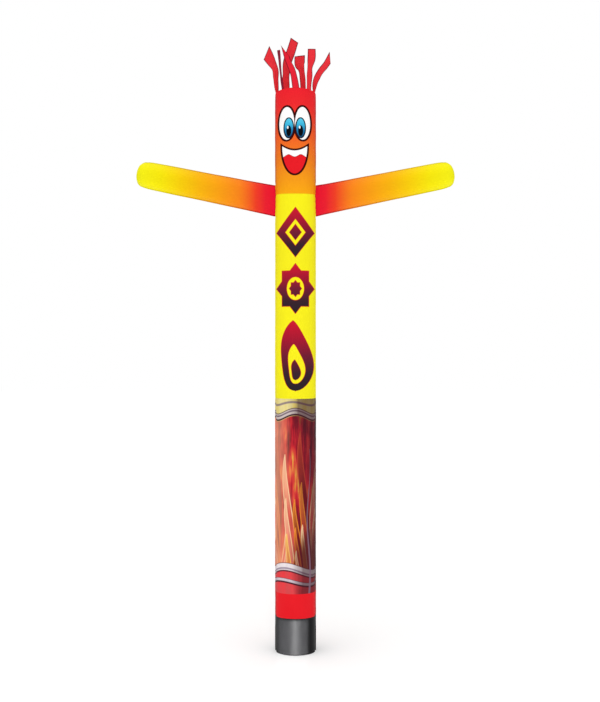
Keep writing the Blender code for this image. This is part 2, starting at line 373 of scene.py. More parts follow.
class Cloth:
    """A cloth material's tree with the places on its piece that its pattern reads."""

    def __init__(self, name, roughness, shine):
        self.material = bpy.data.materials.new(name)
        self.material.use_nodes = True
        self.tree = self.material.node_tree
        self.shader = self.tree.nodes["Principled BSDF"]
        self.shader.inputs["Roughness"].default_value = roughness
        self.shader.inputs["Specular IOR Level"].default_value = shine
        self.places = self.tree.nodes.new("ShaderNodeTexCoord")
        self.x, self.y, self.z = self.split(self.places.outputs["Object"])
        self.u, self.v, _ = self.split(self.places.outputs["UV"])

    def split(self, socket):
        node = self.tree.nodes.new("ShaderNodeSeparateXYZ")
        self.tree.links.new(socket, node.inputs[0])
        return tuple(Field(self.tree, node.outputs[axis]) for axis in range(3))

    def mark(self, name):
        """A value kept on the piece's own points or faces."""
        node = self.tree.nodes.new("ShaderNodeAttribute")
        node.attribute_name = name
        return Field(self.tree, node.outputs["Fac"])

    def grain(self, scale, detail, stretch=(1.0, 1.0, 1.0)):
        """Soft noise over the object's own places, from about -0.5 to 0.5."""
        lay = self.tree.nodes.new("ShaderNodeMapping")
        lay.inputs["Scale"].default_value = stretch
        self.tree.links.new(self.places.outputs["Object"], lay.inputs["Vector"])
        node = self.tree.nodes.new("ShaderNodeTexNoise")
        node.inputs["Scale"].default_value = scale
        node.inputs["Detail"].default_value = detail
        self.tree.links.new(lay.outputs["Vector"], node.inputs["Vector"])
        return Field(self.tree, node.outputs["Fac"]) - 0.5

    def ramp(self, field, stops):
        """A colour from a field, through stops of (place, sRGB colour)."""
        node = self.tree.nodes.new("ShaderNodeValToRGB")
        self.tree.links.new(field.socket, node.inputs["Fac"])
        line = node.color_ramp
        while len(line.elements) < len(stops):
            line.elements.new(0.5)
        for element, (place, colour) in zip(line.elements, stops):
            element.position = place
            element.color = linear(colour)
        return node.outputs["Color"]

    def over(self, mask, top, below):
        """The colour top where the mask is 1, over the colour below."""
        node = self.tree.nodes.new("ShaderNodeMix")
        node.data_type = "RGBA"
        self.tree.links.new(mask.socket, node.inputs["Factor"])
        for slot, colour in ((BELOW, below), (TOP, top)):
            if isinstance(colour, bpy.types.NodeSocket):
                self.tree.links.new(colour, node.inputs[slot])
            else:
                node.inputs[slot].default_value = linear(colour)
        return node.outputs[MIXED]

    def shade(self, colour, field):
        """The colour made lighter or darker by a field about 1."""
        node = self.tree.nodes.new("ShaderNodeMix")
        node.data_type = "RGBA"
        node.blend_type = "MULTIPLY"
        node.inputs["Factor"].default_value = 1.0
        grey = self.tree.nodes.new("ShaderNodeCombineColor")
        for slot in range(3):
            self.tree.links.new(field.socket, grey.inputs[slot])
        self.tree.links.new(colour, node.inputs[BELOW])
        self.tree.links.new(grey.outputs[0], node.inputs[TOP])
        return node.outputs[MIXED]

    def front(self):
        """1 on the front half of the tube."""
        return self.y.inside(0.01)

    def pulse(self, along, pitch, share):
        """1 in a thin line at every pitch along a field, share of the pitch wide."""
        folded = (along / pitch).math("FRACT") - 0.5
        return (folded.size() - share / 2.0).inside(share)

    def finish(self, colour, height, depth):
        """Joins the colour and the raised threads to the shader."""
        self.tree.links.new(colour, self.shader.inputs["Base Color"])
        bump = self.tree.nodes.new("ShaderNodeBump")
        bump.inputs["Strength"].default_value = 1.0
        bump.inputs["Distance"].default_value = depth
        self.tree.links.new(height.socket, bump.inputs["Height"])
        self.tree.links.new(bump.outputs["Normal"], self.shader.inputs["Normal"])
        return self.material


def linear(colour):
    """A colour of 0 to 255 as the linear value that a shader takes, by the sRGB curve."""
    made = []
    for part in colour:
        share = part / 255.0
        low = share / 12.92
        high = ((share + 0.055) / 1.055) ** 2.4
        made.append(low if share <= 0.04045 else high)
    return (*made, 1.0)


# ---------------------------------------------------------------- cloth finishes

RIPSTOP = 0.006  # pitch of the thicker threads in the nylon
RIPSTOP_SHARE = 0.12  # their width as a share of that
RIPSTOP_DARK = 0.025
STITCH_LINE = 0.007  # distance of a stitch line from its seam
STITCH_PITCH = 0.0045
STITCH_SHARE = 0.66  # thread showing, as a share of the pitch
STITCH_WIDE = 0.0011
STITCH_DARK = -0.10
SIDE_SHADE_WIDE = 0.0058  # width of the darker band on either side of a side seam's fold: painted shade of the tube's edges, a little of it the doubled cloth's own tone
SIDE_SHADE_BLUR = 0.002
HEAD_SIDE_SHADE = 0.36  # how much painted shade it lays on the head; the next two lines give it for the yellow and lower panels
YELLOW_SIDE_SHADE = 0.10
LOWER_SIDE_SHADE = 0.08
FOOT_SIDE_SHADE = 0.30  # and so much more painted shade on the plain red foot
# painted shade along the seams on an arm's upper and lower edges
ARM_EDGE_SHADE = 0.44
ARM_EDGE_SHADE_PALING = -0.22  # and so much less of that painted shade from an arm's root to its tip
ARM_ROOT_SHADOW_WIDE = 0.006  # width of the painted shadow round an arm's root, where it meets the tube
ARM_ROOT_SHADOW = 0.5
NYLON_RELIEF = 0.0006  # depth of the threads, slack and stitches in the bump
SLEEVE_RELIEF = 0.0005
SLEEVE_THREAD = 0.0016  # pitch of the sleeve's weave
PANEL_ROUGHNESS, PANEL_SHINE = 0.55, 0.035
RIBBON_ROUGHNESS, RIBBON_SHINE = 0.52, 0.04
SLEEVE_ROUGHNESS, SLEEVE_SHINE = 0.48, 0.07
RED = (234, 33, 46)
INK = (58, 4, 6)
WHITE = (255, 255, 255)
PUPIL = (6, 8, 14)
IRIS_RIM = (10, 22, 40)
TONGUE = (231, 28, 38)
TONGUE_FOLD = (120, 18, 30)
MOTIF_RIM = (206, 60, 36)
RIBBON_DEEP = (228, 22, 48)
RIBBON_SHADED_BACK = (134, 24, 52)
RIBBON_EDGE = (128, 18, 36)
SLEEVE_STITCH = (52, 52, 54)
YELLOW_COLOURS = ((0.25, (245, 235, 32)), (0.75, (248, 240, 26)))  # share of the dye's unevenness, colour
FOOT_COLOURS = ((0.2, (230, 27, 37)), (0.8, (235, 34, 43)))
CROWN_COLOURS = ((0.2, (226, 22, 36)), (0.8, (236, 30, 42)))
RIBBON_COLOURS = ((0.2, (230, 48, 58)), (0.8, (240, 55, 64)))
SLEEVE_COLOURS = ((0.1, (14, 14, 15)), (0.9, (28, 28, 29)))
GLOW_COLOURS = ((0.2, (222, 196, 96)), (0.8, (236, 226, 168)))
IRIS_COLOURS = (
    # share of the iris's height, colour
    (0.00, (20, 60, 102)),
    (0.40, (38, 132, 188)),
    (0.72, (64, 186, 224)),
    (1.00, (92, 204, 234)),
)

HEAD_COLOURS = (
    # share of the head panel's height, colour
    (0.00, (249, 167, 18)),
    (0.16, (244, 152, 26)),
    (0.31, (241, 132, 32)),
    (0.44, (241, 114, 36)),
    (0.56, (241, 96, 39)),
    (0.72, (239, 66, 43)),
    (0.85, (237, 43, 46)),
    (1.00, (237, 34, 46)),
)
MOTIF_COLOURS = (
    # share of a shape's height, colour
    (0.00, (38, 34, 40)),
    (0.25, (58, 34, 44)),
    (0.50, (112, 28, 50)),
    (0.75, (166, 24, 48)),
    (1.00, (204, 24, 48)),
)
ARM_COLOURS = (
    # share of the arm's length, colour
    (0.00, (230, 18, 54)),
    (0.07, (231, 31, 49)),
    (0.14, (235, 62, 37)),
    (0.26, (244, 131, 26)),
    (0.40, (245, 157, 18)),
    (0.54, (244, 178, 12)),
    (0.68, (244, 203, 8)),
    (0.83, (243, 228, 10)),
    (1.00, (244, 239, 22)),
)


def seam_stitches(cloth, lines):
    """Rows of stitches beside seams; a line is (field, place of the seam, direction of its stitches)."""
    total = None
    for across, place, along in lines:
        near = ((across - place).size() - STITCH_WIDE / 2).inside(STITCH_WIDE / 2)
        row = near * cloth.pulse(along, STITCH_PITCH, STITCH_SHARE)
        total = row if total is None else total.larger(row)
    return total


def nylon(cloth, colour, stitches=None, painted_edge_shade=None):
    """Light ripstop nylon under its colour, its stitches pressed in, painted shade laid along its seam edges.
    """
    upright = cloth.pulse(cloth.u, RIPSTOP, RIPSTOP_SHARE)
    ripstop = upright.larger(cloth.pulse(cloth.v, RIPSTOP, RIPSTOP_SHARE))
    # the dye is a little uneven, over a hand's width and over a finger's
    mottled = cloth.grain(5.0, 3.0) * 0.05 + cloth.grain(38.0, 2.0) * 0.03 + 1.0
    toned = cloth.shade(colour, mottled - ripstop * RIPSTOP_DARK)
    # small upright slack, far higher than the threads
    height = ripstop * 0.35 + cloth.grain(22.0, 3.0, (1.0, 1.0, 0.45)) * 3.0
    # painted shade of the piece's edges, along its seams
    if painted_edge_shade is not None:
        toned = cloth.shade(toned, -painted_edge_shade + 1.0)
    if stitches is not None:
        toned = cloth.shade(toned, stitches * STITCH_DARK + 1.0)
        height = height - stitches * 1.2
    return cloth.finish(toned, height, NYLON_RELIEF)


def side_shade_line(cloth, place):
    """1 on the painted shade along the seams that run up a piece at a place to either side of its middle."""
    return ((cloth.u.size() - place).size() - SIDE_SHADE_WIDE).inside(SIDE_SHADE_BLUR)


def panel_stitches(cloth, low, high):
    """Stitch rows along both edges of a panel and down both sides of its side seams."""
    side = AROUND / 4.0
    return seam_stitches(
        cloth,
        (
            (cloth.v, low + STITCH_LINE, cloth.u),
            (cloth.v, high - STITCH_LINE, cloth.u),
            (cloth.u.size(), side - STITCH_LINE, cloth.v),
            (cloth.u.size(), side + STITCH_LINE, cloth.v),
        ),
    )


def panel_finish(cloth, colour, low, high, side_shade_amount):
    """The nylon of a panel from low to high, painted shade of the given strength along its side seams."""
    painted_edge_shade = side_shade_line(cloth, AROUND / 4.0) * side_shade_amount
    return nylon(cloth, colour, panel_stitches(cloth, low, high), painted_edge_shade)


def ellipse(cloth, x, z, half_wide, half_high):
    """Metres outside an ellipse on the front of the tube, below zero inside it."""
    across = (cloth.x - x) / half_wide
    upward = (cloth.z - z) / half_high
    reach = (across * across + upward * upward).power(0.5)
    # the last term keeps the slope above zero in the very middle
    slope = (across * across / half_wide**2 + upward * upward / half_high**2).power(0.5) + 0.01
    return (reach - 1.0) * reach / slope


FACE_X = -0.008  # middle of the printed face
EYE_Z = 5.891
EYE_HALF_WIDE = 0.0835
EYE_HALF_HIGH = 0.181
EYE_SPACING = 0.0880
IRIS_Z = 5.840
IRIS_INWARD = 0.022
IRIS_HALF_WIDE = 0.047
IRIS_HALF_HIGH = 0.104
PUPIL_DROP = 0.032  # how far the pupil's middle lies below the iris's
PUPIL_HALF_WIDE = 0.028
PUPIL_HALF_HIGH = 0.060
GLINT_LEFT = 0.011
GLINT_RISE = 0.006
GLINT_HALF_WIDE = 0.009
GLINT_HALF_HIGH = 0.016
MOUTH_Z = 5.643  # height of the mouth's corners
MOUTH_HALF_WIDE = 0.1385
MOUTH_DEEP = 0.310
LIP_DIP = 0.056
TONGUE_Z = 5.530  # middle height of the tongue's waved top
TONGUE_WAVE = -0.014
TONGUE_LINE = 0.004  # half width of the darker line along it
INK_LINE = 0.0210
PRINT_BLUR = 0.003


def outline(shape):
    """1 on the printed line round a shape."""
    return ((shape - INK_LINE / 2.0).size() - INK_LINE / 2.0).inside(PRINT_BLUR)


def head_print(cloth):
    """Red running down to orange, with a plain smiling face on the front."""
    share = (cloth.z - HEAD_BOTTOM) / (TUBE_TOP - HEAD_BOTTOM)
    colour = cloth.ramp(share, HEAD_COLOURS)
    front = cloth.front()
    eyes = []
    for side in (-1, 1):
        middle = FACE_X + side * EYE_SPACING
        eyes.append((side, middle, ellipse(cloth, middle, EYE_Z, EYE_HALF_WIDE, EYE_HALF_HIGH)))
    for side, middle, ball in eyes:
        colour = cloth.over((ball - INK_LINE / 4.0).inside(PRINT_BLUR) * front, WHITE, colour)
        look = middle - side * IRIS_INWARD
        iris = ellipse(cloth, look, IRIS_Z, IRIS_HALF_WIDE, IRIS_HALF_HIGH)
        colour = cloth.over((iris - INK_LINE * 0.6).inside(PRINT_BLUR) * front, IRIS_RIM, colour)
        depth = (cloth.z - (IRIS_Z - IRIS_HALF_HIGH)) / (2.0 * IRIS_HALF_HIGH)
        blue = cloth.ramp(depth, IRIS_COLOURS)
        colour = cloth.over(iris.inside(PRINT_BLUR) * front, blue, colour)
        pupil = ellipse(cloth, look, IRIS_Z - PUPIL_DROP, PUPIL_HALF_WIDE, PUPIL_HALF_HIGH)
        colour = cloth.over(pupil.inside(PRINT_BLUR) * front, PUPIL, colour)
        glint = ellipse(cloth, look - GLINT_LEFT, IRIS_Z + GLINT_RISE, GLINT_HALF_WIDE, GLINT_HALF_HIGH)
        colour = cloth.over(glint.inside(PRINT_BLUR) * front, WHITE, colour)
    colour = cloth.over(outline(eyes[0][2].smaller(eyes[1][2])) * front, INK, colour)
    across = (cloth.x - FACE_X) / MOUTH_HALF_WIDE
    lip = cloth.z - (across * across * LIP_DIP + (MOUTH_Z - LIP_DIP))
    bowl = ellipse(cloth, FACE_X, MOUTH_Z, MOUTH_HALF_WIDE, MOUTH_DEEP)
    mouth = lip.larger(bowl)
    lobes = (across * 2.0 * math.pi).cosine() * TONGUE_WAVE + TONGUE_Z
    under_ink = mouth - INK_LINE / 2.0
    colour = cloth.over(under_ink.inside(PRINT_BLUR) * front, WHITE, colour)
    fold = (cloth.z - lobes).size() - TONGUE_LINE
    colour = cloth.over(fold.larger(under_ink).inside(PRINT_BLUR) * front, TONGUE_FOLD, colour)
    tongue = (cloth.z - lobes).larger(under_ink)
    colour = cloth.over(tongue.inside(PRINT_BLUR) * front, TONGUE, colour)
    return cloth.over(outline(mouth) * front, INK, colour)


LOZENGE_Z = 4.685
LOZENGE_TIP = 0.270  # half its height
STAR_Z = 4.061
STAR_TIP = 0.271
DROP_LOW, DROP_HIGH = 2.930, 3.704
DROP_FULL = 1.98  # fullness of the curve from its round foot to its point
MOTIF_EDGE = 0.006  # width of the lighter rim round a shape
ROOT_TWO = 1.4142


def lozenge(cloth, z, half_wide, half_high):
    """About the metres outside a lozenge, below zero inside it, as for the next two shapes."""
    reach = cloth.x.size() / half_wide + (cloth.z - z).size() / half_high
    return (reach - 1.0) * (half_wide * 0.8)


def eight_point(cloth, z, half_wide, half_high):
    """An eight-pointed star: a square and the same square on its corner."""
    across = cloth.x.size() / half_wide
    upward = (cloth.z - z).size() / half_high
    square = across.larger(upward) * ROOT_TWO
    corner = across + upward
    return (square.smaller(corner) - 1.0) * (half_wide * 0.75)


def drop(cloth, low, high, half_wide, sway):
    """A drop with a leaning point, its foot round."""
    rise = ((cloth.z - low) / (high - low)).kept()
    width = rise.power(0.5) * (-rise + 1.0).power(0.75) * (half_wide * DROP_FULL)
    lean = (rise * 5.2).sine() * sway
    return ((cloth.x - lean).size() - width).larger(cloth.z - high).larger(-cloth.z + low)


def yellow_print(cloth):
    """Yellow with three dark crimson shapes down the front: a lozenge, a star and a drop."""
    colour = cloth.ramp(cloth.grain(3.0, 2.0) + 0.5, YELLOW_COLOURS)
    front = cloth.front()
    shapes = (
        # outer shape, the yellow inside it, the heart within that, lowest point, highest point
        (
            lozenge(cloth, LOZENGE_Z, 0.208, 0.272),
            lozenge(cloth, LOZENGE_Z, 0.118, 0.154),
            lozenge(cloth, LOZENGE_Z, 0.064, 0.084),
            LOZENGE_Z - LOZENGE_TIP,
            LOZENGE_Z + LOZENGE_TIP,
        ),
        (
            eight_point(cloth, STAR_Z, 0.208, 0.274),
            ellipse(cloth, 0.0, STAR_Z, 0.100, 0.132),
            eight_point(cloth, STAR_Z, 0.066, 0.087),
            STAR_Z - STAR_TIP,
            STAR_Z + STAR_TIP,
        ),
        (
            drop(cloth, DROP_LOW, DROP_HIGH, 0.204, 0.030),
            drop(cloth, DROP_LOW + 0.075, DROP_LOW + 0.52, 0.112, 0.020),
            drop(cloth, DROP_LOW + 0.120, DROP_LOW + 0.34, 0.056, 0.010),
            DROP_LOW,
            DROP_HIGH,
        ),
    )
    for outer, gap, heart, low, high in shapes:
        solid = outer.larger(-gap).smaller(heart)
        dark = cloth.ramp((cloth.z - low) / (high - low), MOTIF_COLOURS)
        edge = (solid - MOTIF_EDGE).inside(PRINT_BLUR) * front
        colour = cloth.over(edge, MOTIF_RIM, colour)
        colour = cloth.over(solid.inside(PRINT_BLUR) * front, dark, colour)
    return colour


FOOT_TOP = 0.668  # where the plain red foot of the lower panel's print begins
SALMON = (222, 92, 80)
CORAL = (238, 132, 112)
CREAM = (246, 206, 160)
AMBER = (226, 132, 48)
STRAW = (250, 206, 96)
# painted shade colours, this line and the next
SHADED_SIDE_TONE = (66, 24, 34)
LOW_SHADE_TONE = (110, 26, 32)
WISP = (128, 100, 120)
# painted light colour for the -X side
LIT_SIDE_TONE = (248, 172, 138)
ROSE = (214, 92, 94)
MAROON = (122, 22, 32)
EMBER = (186, 66, 50)
EMBER_COLOURS = (
    # heat, colour
    (0.00, (72, 18, 34)),
    (0.24, (132, 24, 40)),
    (0.46, (196, 38, 50)),
    (0.64, (218, 72, 58)),
    (0.80, (232, 140, 62)),
    (1.00, (246, 210, 96)),
)
STREAK = (17.0, 4.0, (1.0, 1.0, 0.10))  # scale, detail and stretch of a grain
FLICKER = (4.5, 3.0, (1.0, 1.0, 0.40))
FINE_STREAK = (60.0, 3.0, (1.0, 1.0, 0.08))
FLAME_FOOT = 0.80  # hidden under the lower bands
HOT = ((SALMON, CREAM), (CORAL, CREAM), (AMBER, STRAW))
DEEP = ((MAROON, EMBER), (EMBER, AMBER), (AMBER, CREAM))
GLOW = ((MAROON, AMBER), (EMBER, AMBER), (CORAL, CREAM))
LAYERS = (1.0, 0.66, 0.38)  # size of the flames laid in one another
FLAME_RIM = 0.004  # how far a flame's rim reaches outside it
FLAME_INSET = 0.006  # how far inside it its fill begins
FLAMES = (
    # flames in the row, place of its first, lowest and highest tip, half width, sway, colours
    (4, 0.095, 2.40, 2.50, 0.122, 0.052, DEEP),
    (4, -0.085, 2.08, 2.24, 0.116, 0.048, HOT),
    (5, 0.020, 1.48, 1.76, 0.078, 0.036, GLOW),
)
SMOKE = (
    # place round the tube, sway, half width
    (0.160, 0.022, 0.013),
    (-0.560, 0.026, 0.012),
)
SMOKE_TOP = 2.30
GLOW_LOW = 2.62  # where the pale glow above the flames begins
ROSE_HIGH = 0.925  # where the rose below them ends
UPPER_WAVE = (3.0, 0.035, 0.0)  # waves round the tube, their lift, their phase
TOP_WAVE = (3.0, 0.020, 0.4)
LOWER_WAVE = (2.0, 0.045, 1.0)
FOOT_WAVE = (2.0, 0.030, 1.4)
PALE_BANDS = (
    # height, half width, wave, colour
    (2.665, 0.042, UPPER_WAVE, (60, 30, 44)),
    (2.670, 0.028, UPPER_WAVE, (206, 192, 188)),
    (2.676, 0.009, UPPER_WAVE, (122, 106, 118)),
    (2.785, 0.012, TOP_WAVE, (150, 134, 130)),
    (0.925, 0.050, LOWER_WAVE, (92, 34, 48)),
    (0.930, 0.038, LOWER_WAVE, (232, 222, 226)),
    (0.912, 0.010, LOWER_WAVE, (160, 144, 160)),
    (0.790, 0.026, FOOT_WAVE, (70, 32, 44)),
    (0.797, 0.014, FOOT_WAVE, (206, 192, 202)),
)


def flame_places(cloth, count, first):
    """Metres from the middle of the nearest flame of a row, and an angle that differs from flame to flame."""
    turn = (cloth.u - first) * (count / AROUND) + (count + 0.5)
    number = turn.math("FLOOR")
    place = (turn - number - 0.5) * (AROUND / count)
    return place, number * (2.0 * math.pi / count)


def tongue_of_fire(cloth, place, angle, height, half_wide, sway):
    """Below zero inside the leaning flames of one row, and the share of the height risen."""
    above = cloth.v - FLAME_FOOT
    rise = (above / height).kept()
    width = (-rise + 1.0).power(0.80) * ((rise * 6.2 + angle * 2.0).cosine() * 0.20 + 0.85) * half_wide
    lean = (rise * 5.4 + angle).sine() * (rise * 0.7 + 0.3) * sway
    flame = ((place - lean).size() - width).larger(above - height).larger(-above)
    return flame, rise


def waving(cloth, height, wave):
    """Distance above a line that waves round the tube."""
    waves, lift, phase = wave
    crest = (cloth.u * (waves / TUBE_R) + phase).cosine() * lift
    return cloth.v - crest - height


def lower_print(cloth):
    """Streaked flames between pale waving bands, over a plain red foot, with painted light and shade across
    the tube.
    """
    streak = cloth.grain(*STREAK)
    flicker = cloth.grain(*FLICKER)
    fine = cloth.grain(*FINE_STREAK)
    heat = streak * 1.6 + flicker * 1.9 + fine * 0.5 + 0.42
    colour = cloth.ramp(heat.kept(), EMBER_COLOURS)
    tone = streak * 0.8 + fine * 0.4 + 0.95
    for count, first, low, high, half_wide, sway, layers in FLAMES:
        place, angle = flame_places(cloth, count, first)
        tallest = (angle + 0.7).cosine() * ((high - low) / 2.0) + ((high + low) / 2.0 - FLAME_FOOT)
        for share, (fill, rim) in zip(LAYERS, layers):
            wide = half_wide * share**0.8
            flame, rise = tongue_of_fire(cloth, place, angle, tallest * share, wide, sway * share)
            inner = cloth.shade(cloth.ramp(rise, ((0.55, fill), (1.0, rim))), tone)
            colour = cloth.over((flame - FLAME_RIM).inside(0.004), rim, colour)
            colour = cloth.over((flame + FLAME_INSET).inside(0.005), inner, colour)
    # painted shade low down and to +X, and paler painted light to -X
    side = (cloth.u / TUBE_R).sine()
    low_shade = (cloth.v * -3.0 + 4.14).kept(0.75) * (side * 0.8 + 0.5).larger(0.0)
    colour = cloth.over(low_shade, LOW_SHADE_TONE, colour)
    lit_side = (flicker * 0.9 - side * 0.68 - 0.12).kept(0.6)
    colour = cloth.over(lit_side, LIT_SIDE_TONE, colour)
    # the glow above the flames, the rose below them, and the bands over both
    glow = cloth.ramp(streak + 0.5, GLOW_COLOURS)
    colour = cloth.over((-waving(cloth, GLOW_LOW, UPPER_WAVE)).inside(0.012), glow, colour)
    rose = cloth.shade(cloth.ramp(streak + 0.5, ((0.0, ROSE), (1.0, RED))), streak * 0.5 + 1.0)
    colour = cloth.over(waving(cloth, ROSE_HIGH, LOWER_WAVE).inside(0.010), rose, colour)
    for height, half, wave, shade in PALE_BANDS:
        band = waving(cloth, height, wave).size() - half
        tone = cloth.shade(cloth.ramp(streak + 0.5, ((0.0, shade), (1.0, shade))), streak * 0.35 + 1.0)
        colour = cloth.over(band.inside(0.008), tone, colour)
    # painted shade to +X, deepest towards both ends and darker upwards, with wisps of smoke
    shaded_ends = ((cloth.v - 1.90).size() * 1.6 - 0.80).kept(0.42) * (side * 1.7 + 1.0).larger(0.0)
    shaded_side = side * 0.80 + streak * 0.9 + flicker * 0.8 + cloth.v * 0.10 - 0.20 + shaded_ends
    colour = cloth.over(shaded_side.kept(0.78), SHADED_SIDE_TONE, colour)
    for middle, sway, half_wide in SMOKE:
        swing = (cloth.v * 5.2 + middle * 20.0).sine() * sway + middle
        narrow = (-cloth.v + 2.5) * (half_wide * 0.6)
        wisp = ((cloth.u - swing).size() - narrow).larger(waving(cloth, SMOKE_TOP, UPPER_WAVE))
        colour = cloth.over(wisp.inside(0.008) * 0.85, WISP, colour)
    foot = cloth.ramp(cloth.grain(3.0, 2.0) + 0.5, FOOT_COLOURS)
    return cloth.over((cloth.v - FOOT_TOP).inside(0.004), foot, colour)


def head_cloth():
    cloth = Cloth("printed nylon of the head", PANEL_ROUGHNESS, PANEL_SHINE)
    return panel_finish(cloth, head_print(cloth), HEAD_BOTTOM, TUBE_TOP, HEAD_SIDE_SHADE)


def yellow_cloth():
    cloth = Cloth("printed yellow nylon", PANEL_ROUGHNESS, PANEL_SHINE)
    return panel_finish(cloth, yellow_print(cloth), YELLOW_BOTTOM, YELLOW_TOP, YELLOW_SIDE_SHADE)


def lower_cloth():
    cloth = Cloth("printed flame nylon", PANEL_ROUGHNESS, PANEL_SHINE)
    # painted shade along the side seams, stronger on the plain red foot
    side_shade_amount = (cloth.v - FOOT_TOP).inside(0.020) * FOOT_SIDE_SHADE + LOWER_SIDE_SHADE
    return panel_finish(cloth, lower_print(cloth), LOWER_BOTTOM, LOWER_TOP, side_shade_amount)


def arm_cloth(side):
    """Red at the root, through orange to yellow at the tip."""
    cloth = Cloth("graded nylon of the " + side + " arm", PANEL_ROUGHNESS, PANEL_SHINE)
    reach = (cloth.x.size() - TUBE_R) / (ARM_TIP * math.cos(ARM_SLOPE) - ARM_TIP_PLAIN)
    colour = cloth.ramp(reach, ARM_COLOURS)
    half = ARM_AROUND / 2.0
    stitches = seam_stitches(
        cloth,
        (
            (cloth.v, STITCH_LINE, cloth.u),
            (cloth.u.size(), STITCH_LINE, cloth.v),
            (cloth.u.size(), half - STITCH_LINE, cloth.v),
        ),
    )
    # painted shadow round the arm's root, where it meets the tube
    root = (cloth.v - ARM_ROOT_SHADOW_WIDE).inside(0.004) * ARM_ROOT_SHADOW
    # painted shade along the arm's edge seams, lighter towards the tip
    painted_edge_shade = side_shade_line(cloth, 0.0).larger(side_shade_line(cloth, half)) * (reach * ARM_EDGE_SHADE_PALING + ARM_EDGE_SHADE)
    return nylon(cloth, colour, stitches, painted_edge_shade.larger(root))


def crown_cloth():
    cloth = Cloth("red nylon of the crown", RIBBON_ROUGHNESS, RIBBON_SHINE)
    return nylon(cloth, cloth.ramp(cloth.grain(6.0, 3.0) + 0.5, CROWN_COLOURS))


def hair_cloth():
    """Red ribbon nylon, its back faces in painted shade, darker along its cut edges."""
    cloth = Cloth("red ribbon nylon", RIBBON_ROUGHNESS, RIBBON_SHINE)
    colour = cloth.ramp(cloth.grain(7.0, 3.0) + 0.5, RIBBON_COLOURS)
    colour = cloth.over(cloth.mark("deep"), RIBBON_DEEP, colour)
    # painted shade on the back faces, and on the front of the ribbon that shows it outwards
    colour = cloth.over(cloth.mark("shaded_back"), RIBBON_SHADED_BACK, colour)
    edge = (cloth.mark("from_cut") - CUT_EDGE).inside(0.003)
    colour = cloth.over(edge, RIBBON_EDGE, colour)
    return nylon(cloth, colour)


def sleeve_cloth():
    """Heavier black woven cloth with a hem at its lower edge."""
    cloth = Cloth("black sleeve cloth", SLEEVE_ROUGHNESS, SLEEVE_SHINE)
    warp = (cloth.u * (2.0 * math.pi / SLEEVE_THREAD)).sine()
    weft = (cloth.v * (2.0 * math.pi / SLEEVE_THREAD)).sine()
    weave = warp * weft
    shade = cloth.grain(9.0, 3.0) * 0.6 + cloth.grain(60.0, 2.0) * 0.3 + 0.5
    colour = cloth.ramp(shade, SLEEVE_COLOURS)
    stitches = seam_stitches(
        cloth,
        (
            (cloth.v, SLEEVE_TOP - STITCH_LINE, cloth.u),
            (cloth.v, HEM_HIGH - HEM_STITCH, cloth.u),
            (cloth.u.size(), AROUND / 4.0 - STITCH_LINE, cloth.v),
            (cloth.u.size(), AROUND / 4.0 + STITCH_LINE, cloth.v),
        ),
    )
    colour = cloth.over(stitches * 0.7, SLEEVE_STITCH, colour)
    height = weave * 0.3 + cloth.grain(30.0, 3.0) * 1.5 - stitches
    return cloth.finish(colour, height, SLEEVE_RELIEF)


# ---------------------------------------------------------------- cutting and shaping the cloth

SEWN_NEAR = 0.00005  # points this near each other are sewn together
SMOOTH_ANGLE = math.radians(50)


def deselect():
    bpy.ops.object.select_all(action="DESELECT")


def flat_cloth(name, columns, rows):
    """A flat square of cloth, its corners at 0.5 either way, cut into columns and rows."""
    deselect()
    bpy.ops.mesh.primitive_grid_add(x_subdivisions=columns, y_subdivisions=rows, size=1.0)
    made = bpy.context.object
    made.name = name
    made.data.name = name
    return made


def lay_cloth(made, columns, rows, shape, pattern):
    """Moves each point of a flat cloth to shape(column share, row), and its UV to pattern of the same."""
    mesh = made.data
    spots = []
    for vert in mesh.vertices:
        column = round((vert.co.x + 0.5) * columns)
        row = round((vert.co.y + 0.5) * rows)
        spots.append((column / columns, row))
    for vert, (share, row) in zip(mesh.vertices, spots):
        vert.co = shape(share, row)
    chart = mesh.uv_layers.active
    for loop in mesh.loops:
        share, row = spots[loop.vertex_index]
        chart.data[loop.index].uv = pattern(share, row)
    mesh.update()


def keep_mark(made, name, domain, values):
    """Keeps one value for each point or face of a piece, for its material to read."""
    chart = made.data.attributes.new(name, "FLOAT", domain)
    chart.data.foreach_set("value", values)


def close_seam(made):
    """Sews edges that meet and turns every face outwards."""
    deselect()
    made.select_set(True)
    bpy.context.view_layer.objects.active = made
    bpy.ops.object.mode_set(mode="EDIT")
    bpy.ops.mesh.select_all(action="SELECT")
    bpy.ops.mesh.remove_doubles(threshold=SEWN_NEAR)
    bpy.ops.mesh.normals_make_consistent(inside=False)
    bpy.ops.object.mode_set(mode="OBJECT")


def thicken(made, thickness, offset):
    """Gives a cloth its thickness and smooth faces."""
    deselect()
    made.select_set(True)
    bpy.context.view_layer.objects.active = made
    wall = made.modifiers.new("cloth", "SOLIDIFY")
    wall.thickness = thickness
    wall.offset = offset
    wall.use_even_offset = False
    bpy.ops.object.modifier_apply(modifier=wall.name)
    bpy.ops.object.shade_smooth_by_angle(angle=SMOOTH_ANGLE)


def dress(made, node, material):
    made.data.materials.clear()
    made.data.materials.append(material)
    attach(made, "root")
    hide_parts(node)


def rows_between(low, high):
    """Heights from low to high, close together at both ends."""
    steps = []
    step = ROW_FINE
    while sum(steps) + step < (high - low) / 2.0:
        steps.append(step)
        step = min(step * ROW_GROWTH, ROW_COARSE)
    scale = (high - low) / 2.0 / sum(steps)
    lower = [low]
    for step in steps:
        lower.append(lower[-1] + step * scale)
    upper = [low + high - height for height in reversed(lower[:-1])]
    return lower + upper


def fade(distance, reach):
    """Falls off from 1 to either side of a place."""
    return math.exp(-abs(distance) / reach)


